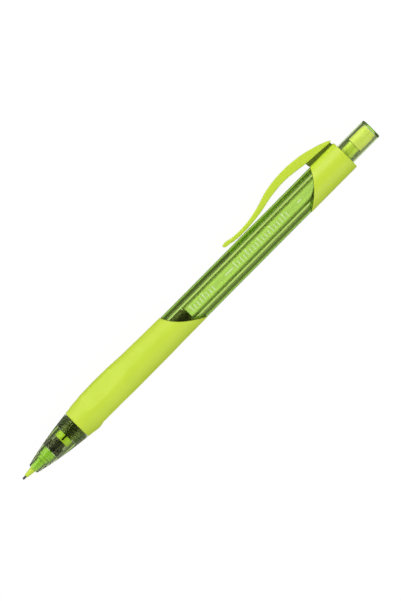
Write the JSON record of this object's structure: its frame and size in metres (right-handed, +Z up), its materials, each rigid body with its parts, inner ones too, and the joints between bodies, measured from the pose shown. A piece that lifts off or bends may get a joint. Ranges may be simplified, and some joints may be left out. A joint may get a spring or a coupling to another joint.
{
  "type": "lead holder",
  "caption": "Click-feed lead holder: a tapered nose with a sliding tip, a three-ridged soft grip, a clear round barrel, a pocket clip on a swept collar, and a push button over an eraser.",
  "frame": {"origin": "on the table under the middle of the whole holder's box, with the holder lying on its grip and its clip", "axes": "+X along the barrel, from the lead's tip to the push button; +Z up from the table; the clip points to +Y and 20 degrees down"},
  "size_m": [0.145, 0.0154, 0.0109],
  "materials": {
    "lime_plastic": "opaque lime moulded plastic, satin",
    "lime_rubber": "soft lime rubber, matt",
    "clear_green": "transparent green plastic, polished",
    "smoke_green": "transparent dark olive-green plastic, polished",
    "black_plastic": "black moulded plastic",
    "eraser_rubber": "soft pale lime vinyl",
    "graphite": "polymer graphite lead",
    "spring_steel": "bright spring wire",
    "chuck_brass": "turned brass",
    "brake_rubber": "black rubber"
  },
  "bodies": {
    "body": {"barrel": "clear_green", "grip": "lime_rubber", "clip_collar": "lime_plastic", "spring_seat": "black_plastic", "guide_bush": "lime_plastic", "clutch_ring": "black_plastic", "return_spring": "spring_steel"},
    "clip": {"clip_arm": "lime_plastic"},
    "nose_carrier": {"slider_spring": "spring_steel"},
    "nose": {"nose_cone": "smoke_green"},
    "tip": {"slider": "lime_plastic", "lead_brake": "brake_rubber"},
    "lead": {"lead": "graphite"},
    "feed": {"chuck_stem": "chuck_brass", "tank_connector": "black_plastic", "lead_tank": "clear_green"},
    "jaw_a": {"chuck_jaw_a": "chuck_brass"},
    "jaw_b": {"chuck_jaw_b": "chuck_brass"},
    "eraser": {"eraser": "eraser_rubber"},
    "button": {"push_button": "clear_green"}
  },
  "joints": [
    {"name": "button_press", "type": "slide", "parent": "body", "child": "feed", "axis": [-1, 0, 0], "range_m": [0, 0.0025], "stiffness_N_per_m": 600, "springref_m": -0.002, "deforming": ["return_spring"]},
    {"name": "jaw_a_open", "type": "hinge", "parent": "feed", "child": "jaw_a", "pos_m": [-0.0526, -0.0022, 0.00532], "axis": [0, -0.342, -0.9397], "range_deg": [0, 3.05]},
    {"name": "jaw_b_open", "type": "hinge", "parent": "feed", "child": "jaw_b", "pos_m": [-0.0526, -0.0022, 0.00532], "axis": [0, 0.342, 0.9397], "range_deg": [0, 3.05]},
    {"name": "button_pull", "type": "slide", "parent": "feed", "child": "button", "axis": [1, 0, 0], "range_m": [0, 0.02]},
    {"name": "eraser_pull", "type": "slide", "parent": "feed", "child": "eraser", "axis": [1, 0, 0], "range_m": [0, 0.008]},
    {"name": "clip_flex", "type": "hinge", "parent": "body", "child": "clip", "pos_m": [0.05085, 0.00522, 0.00262], "axis": [0, -0.342, -0.9397], "range_deg": [0, 4.5], "stiffness_Nm_per_rad": 3.2},
    {"name": "nose_advance", "type": "slide", "parent": "body", "child": "nose_carrier", "axis": [-1, 0, 0], "range_m": [0, 0.004]},
    {"name": "nose_turn", "type": "hinge", "parent": "nose_carrier", "child": "nose", "pos_m": [-0.05015, -0.0022, 0.00532], "axis": [-1, 0, 0], "range_deg": [0, 1800]},
    {"name": "slider_retract", "type": "slide", "parent": "nose_carrier", "child": "tip", "axis": [1, 0, 0], "range_m": [0, 0.0015], "stiffness_N_per_m": 60, "springref_m": -0.003, "deforming": ["slider_spring"]},
    {"name": "lead_feed", "type": "slide", "parent": "body", "child": "lead", "axis": [-1, 0, 0], "range_m": [-0.0013, 0.006]}
  ],
  "couplings": [
    {"joint": "jaw_a_open", "follows": "button_press", "rad_per_m": 20.944},
    {"joint": "jaw_b_open", "follows": "button_press", "rad_per_m": 20.944},
    {"joint": "eraser_pull", "follows": "button_pull", "ratio": 0.4},
    {"joint": "nose_turn", "follows": "nose_advance", "rad_per_m": 7854}
  ]
}
